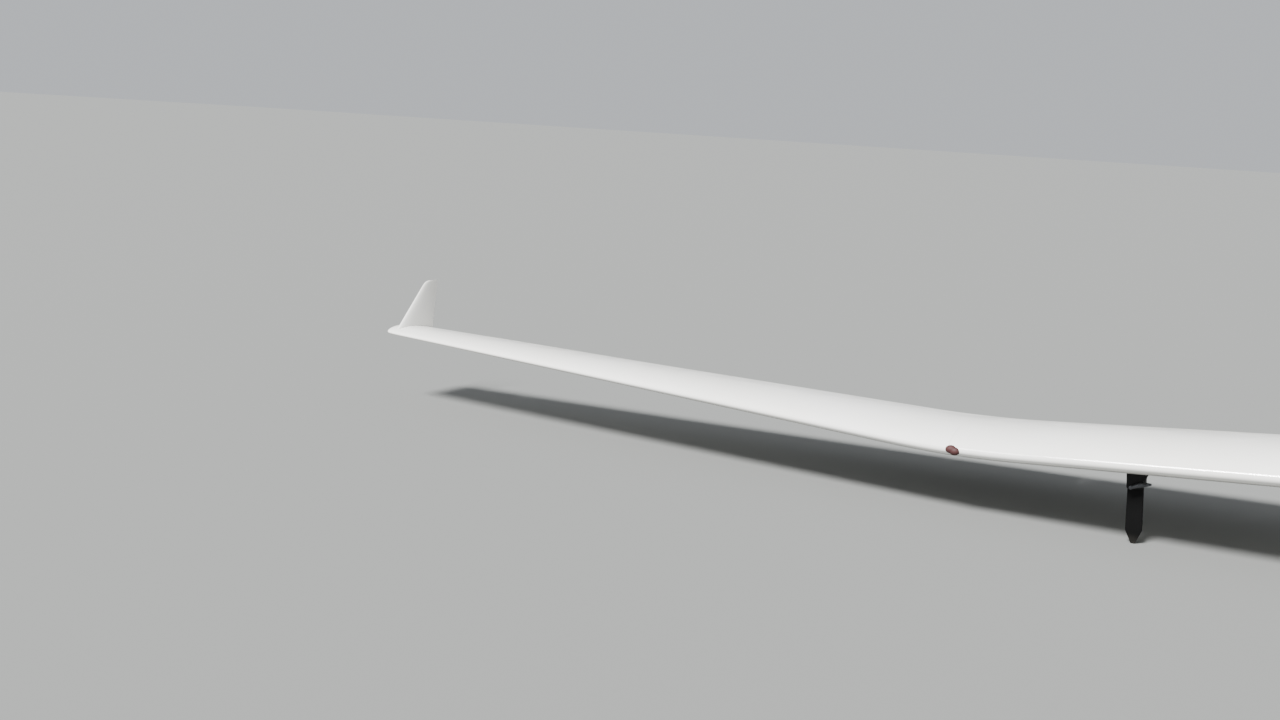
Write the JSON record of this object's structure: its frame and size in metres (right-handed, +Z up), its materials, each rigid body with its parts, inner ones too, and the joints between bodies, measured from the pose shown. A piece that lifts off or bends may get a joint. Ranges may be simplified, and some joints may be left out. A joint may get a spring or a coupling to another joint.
{
  "type": "single-seat sailplane glider",
  "caption": "Slender-winged sailplane with upturned outer panels and winglets, parked on its wheels and one under-wing skid.",
  "frame": {"origin": "middle of the footprint of the whole aircraft, on the ground it stands on", "axes": "+X to port along the wing, +Y aft, +Z up; the aircraft leans 5.8 degrees to starboard about its wheels, onto the starboard skid"},
  "size_m": [14.9, 6.598, 1.9426],
  "materials": {
    "gelcoat": "polished white gelcoat",
    "canopy_glazing": "blown acrylic, faint cool tint",
    "cockpit_shell": "speckled grey cockpit paint",
    "cloth": "woven upholstery",
    "trim": "fine textured black",
    "black_plastic": "satin black",
    "blue_plastic": "moulded blue",
    "red_plastic": "dull red",
    "alloy": "satin",
    "steel": "bright zinc",
    "rubber": "matt moulded rubber",
    "tyre": "ribbed tread"
  },
  "bodies": {
    "airframe": {"fuselage": "gelcoat", "fin": "gelcoat", "tailplane": "gelcoat", "energy_probe": "steel", "seat_pan": "cockpit_shell", "seat_cushion": "cloth", "headrest": "cloth", "rear_deck": "cockpit_shell", "instrument_pod": "trim", "control_stick": "black_plastic", "rudder_pedals": "alloy", "airbrake_lever": "blue_plastic", "wing_inner_left": "gelcoat", "wing_inner_right": "gelcoat", "wing_outer_left": "gelcoat", "wing_outer_right": "gelcoat", "winglet_left": "gelcoat", "winglet_right": "gelcoat", "joint_plug_left": "red_plastic", "joint_plug_right": "red_plastic", "skid_bracket_left": "black_plastic", "skid_bracket_right": "black_plastic", "skid_blade_left": "rubber", "skid_blade_right": "rubber", "main_axle": "steel", "gear_fork": "alloy", "gear_door_left": "gelcoat", "gear_door_right": "gelcoat", "tow_hook": "steel", "tail_wheel_fairing": "gelcoat", "tail_axle": "steel"},
    "main_wheel": {"main_tyre": "tyre", "main_hub": "alloy"},
    "tail_wheel": {"tail_tyre": "tyre", "tail_hub": "alloy"},
    "canopy": {"canopy_frame": "gelcoat", "canopy_glass": "canopy_glazing"},
    "rudder": {"rudder": "gelcoat"},
    "elevator": {"elevator": "gelcoat"},
    "aileron_inner_right": {"aileron_inner_right": "gelcoat"},
    "aileron_outer_right": {"aileron_outer_right": "gelcoat"},
    "aileron_inner_left": {"aileron_inner_left": "gelcoat"},
    "aileron_outer_left": {"aileron_outer_left": "gelcoat"},
    "airbrake_right": {"airbrake_right": "alloy"},
    "airbrake_left": {"airbrake_left": "alloy"}
  },
  "joints": [
    {"name": "main_wheel_spin", "type": "hinge", "parent": "airframe", "child": "main_wheel", "pos_m": [0.0849, -1.07901, 0.17909], "axis": [0.995, 0, 0.1004], "continuous": true},
    {"name": "tail_wheel_spin", "type": "hinge", "parent": "airframe", "child": "tail_wheel", "pos_m": [0.09394, 2.65099, 0.08955], "axis": [0.995, 0, 0.1004], "continuous": true},
    {"name": "canopy_open", "type": "hinge", "parent": "airframe", "child": "canopy", "pos_m": [-0.28739, -1.91901, 0.70137], "axis": [0, -1, 0], "range_deg": [0, 90]},
    {"name": "rudder_turn", "type": "hinge", "parent": "airframe", "child": "rudder", "pos_m": [0.07607, 2.93299, 0.26665], "axis": [-0.1002, 0.047, 0.9939], "range_deg": [-25, 25]},
    {"name": "elevator_tilt", "type": "hinge", "parent": "airframe", "child": "elevator", "pos_m": [-0.04676, 3.04099, 1.48447], "axis": [0.995, 0, 0.1004], "range_deg": [-22, 25]},
    {"name": "aileron_inner_right_tilt", "type": "hinge", "parent": "airframe", "child": "aileron_inner_right", "pos_m": [-3.80797, -0.52945, 0.31086], "axis": [0.9948, 0.0612, 0.0811], "range_deg": [-18, 18]},
    {"name": "aileron_outer_right_tilt", "type": "hinge", "parent": "airframe", "child": "aileron_outer_right", "pos_m": [-5.42559, -0.64749, 0.20575], "axis": [0.9945, 0.1001, -0.0309], "range_deg": [-18, 18]},
    {"name": "aileron_inner_left_tilt", "type": "hinge", "parent": "airframe", "child": "aileron_inner_left", "pos_m": [3.87306, -0.52945, 1.08557], "axis": [0.991, -0.0612, 0.1191], "range_deg": [-18, 18]},
    {"name": "aileron_outer_left_tilt", "type": "hinge", "parent": "airframe", "child": "aileron_outer_left", "pos_m": [5.47909, -0.64749, 1.30559], "axis": [0.9683, -0.1001, 0.2289], "range_deg": [-18, 18]},
    {"name": "airbrake_right_lift", "type": "slide", "parent": "airframe", "child": "airbrake_right", "axis": [-0.1004, 0, 0.995], "range_m": [0, 0.062]},
    {"name": "airbrake_left_lift", "type": "slide", "parent": "airframe", "child": "airbrake_left", "axis": [-0.1004, 0, 0.995], "range_m": [0, 0.062]}
  ],
  "couplings": [
    {"joint": "aileron_outer_right_tilt", "follows": "aileron_inner_right_tilt", "ratio": 1},
    {"joint": "aileron_inner_left_tilt", "follows": "aileron_inner_right_tilt", "ratio": -1},
    {"joint": "aileron_outer_left_tilt", "follows": "aileron_inner_right_tilt", "ratio": -1},
    {"joint": "airbrake_left_lift", "follows": "airbrake_right_lift", "ratio": 1}
  ]
}
